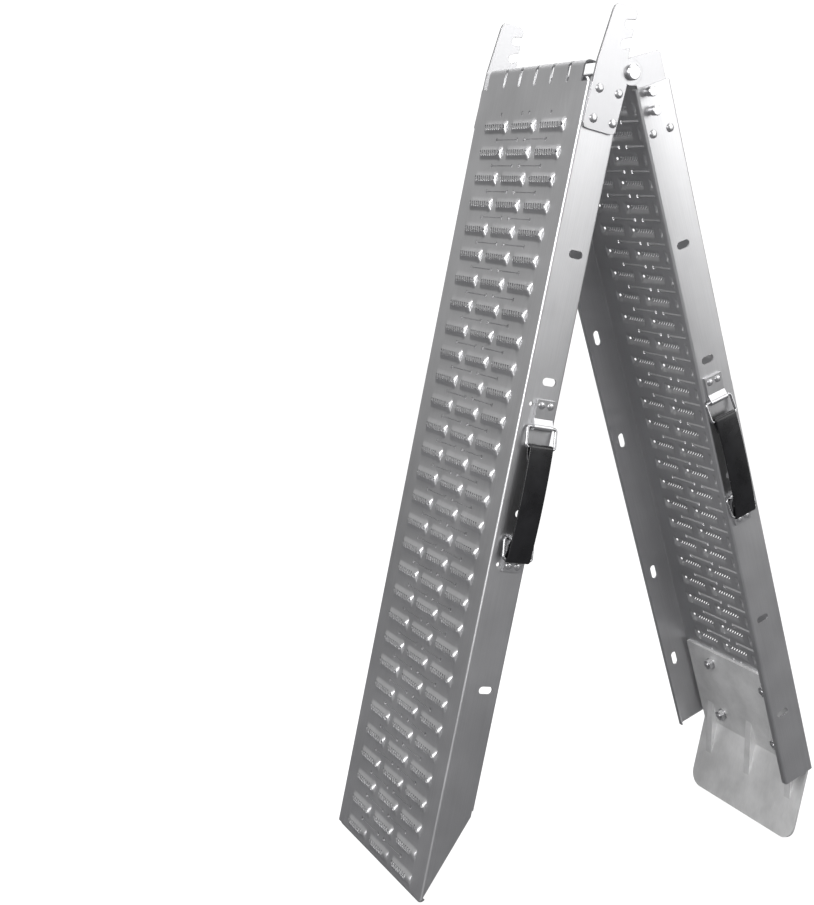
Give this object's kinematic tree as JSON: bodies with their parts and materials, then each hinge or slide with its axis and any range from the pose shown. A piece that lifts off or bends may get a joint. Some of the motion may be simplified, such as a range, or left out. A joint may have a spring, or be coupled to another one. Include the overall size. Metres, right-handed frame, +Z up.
{
  "type": "folding loading ramp",
  "caption": "Folding loading ramp of two pressed steel channels with louvred tread, a locking fold hinge, a bent rest lip and a strap handle on each half, standing folded.",
  "frame": {"origin": "centre of the bottom of the box around the whole ramp, on the floor it stands on", "axes": "+Z up; +X from the toe half towards the lip half; Y across the ramp, with both handles on the -Y side"},
  "size_m": [0.5946, 0.252, 1.0183],
  "materials": {
    "galvanised_sheet": "satin zinc-plated sheet with a drawn grain",
    "lip_steel": "satin zinc-plated plate",
    "bright_plate": "bright zinc plate",
    "fasteners": "bright zinc-plated hardware",
    "bracket_steel": "satin zinc-plated strip",
    "ring_wire": "bright plated wire",
    "strap_rubber": "glossy black moulded strap"
  },
  "bodies": {
    "toe_half": {"channel_toe": "galvanised_sheet", "hook_plate_near": "bright_plate", "hook_plate_far": "bright_plate", "hook_rivets_near": "fasteners", "hook_rivets_far": "fasteners", "bracket_toe_upper": "bracket_steel", "bracket_toe_lower": "bracket_steel", "bracket_rivets_toe": "fasteners", "pivot_bolt_near": "fasteners", "pivot_bolt_far": "fasteners", "pivot_spacer_near": "fasteners", "pivot_spacer_far": "fasteners", "pivot_nut_near": "fasteners", "pivot_nut_far": "fasteners"},
    "lip_half": {"channel_lip": "galvanised_sheet", "hinge_plate_near": "bright_plate", "hinge_plate_far": "bright_plate", "hinge_rivets_near": "fasteners", "hinge_rivets_far": "fasteners", "latch_studs_near": "fasteners", "latch_studs_far": "fasteners", "lip_plate": "lip_steel", "lip_bolts": "fasteners", "lip_washers": "fasteners", "lip_nuts": "fasteners", "bracket_lip_upper": "bracket_steel", "bracket_lip_lower": "bracket_steel", "bracket_rivets_lip": "fasteners"},
    "toe_upper_ring": {"ring_toe_upper": "ring_wire"},
    "toe_strap": {"strap_toe": "strap_rubber"},
    "toe_lower_ring": {"ring_toe_lower": "ring_wire"},
    "lip_upper_ring": {"ring_lip_upper": "ring_wire"},
    "lip_strap": {"strap_lip": "strap_rubber"},
    "lip_lower_ring": {"ring_lip_lower": "ring_wire"}
  },
  "joints": [
    {"name": "fold", "type": "hinge", "parent": "toe_half", "child": "lip_half", "pos_m": [-0.14883, 0.00202, 0.95103], "axis": [0, -1, 0], "range_deg": [-30.4, 149.6]},
    {"name": "toe_handle_lift", "type": "hinge", "parent": "toe_half", "child": "toe_upper_ring", "pos_m": [-0.20889, -0.11436, 0.55953], "axis": [-0.9952, 0, 0.0978], "range_deg": [0, 150]},
    {"name": "toe_strap_tilt", "type": "hinge", "parent": "toe_upper_ring", "child": "toe_strap", "pos_m": [-0.21109, -0.11914, 0.53714], "axis": [-0.9952, 0, 0.0978], "range_deg": [-150, 0]},
    {"name": "toe_lower_ring_lift", "type": "hinge", "parent": "toe_half", "child": "toe_lower_ring", "pos_m": [-0.22135, -0.11436, 0.43264], "axis": [-0.9952, 0, 0.0978], "range_deg": [0, 150]},
    {"name": "lip_handle_lift", "type": "hinge", "parent": "lip_half", "child": "lip_upper_ring", "pos_m": [0.03652, -0.11386, 0.60099], "axis": [-0.9079, 0, -0.4193], "range_deg": [0, 150]},
    {"name": "lip_strap_tilt", "type": "hinge", "parent": "lip_upper_ring", "child": "lip_strap", "pos_m": [0.04596, -0.11864, 0.58056], "axis": [-0.9079, 0, -0.4193], "range_deg": [-150, 0]},
    {"name": "lip_lower_ring_lift", "type": "hinge", "parent": "lip_half", "child": "lip_lower_ring", "pos_m": [0.08998, -0.11386, 0.48524], "axis": [-0.9079, 0, -0.4193], "range_deg": [0, 150]}
  ],
  "couplings": [
    {"joint": "toe_strap_tilt", "follows": "toe_handle_lift", "ratio": -1},
    {"joint": "toe_lower_ring_lift", "follows": "toe_handle_lift", "ratio": 1},
    {"joint": "lip_strap_tilt", "follows": "lip_handle_lift", "ratio": -1},
    {"joint": "lip_lower_ring_lift", "follows": "lip_handle_lift", "ratio": 1}
  ]
}
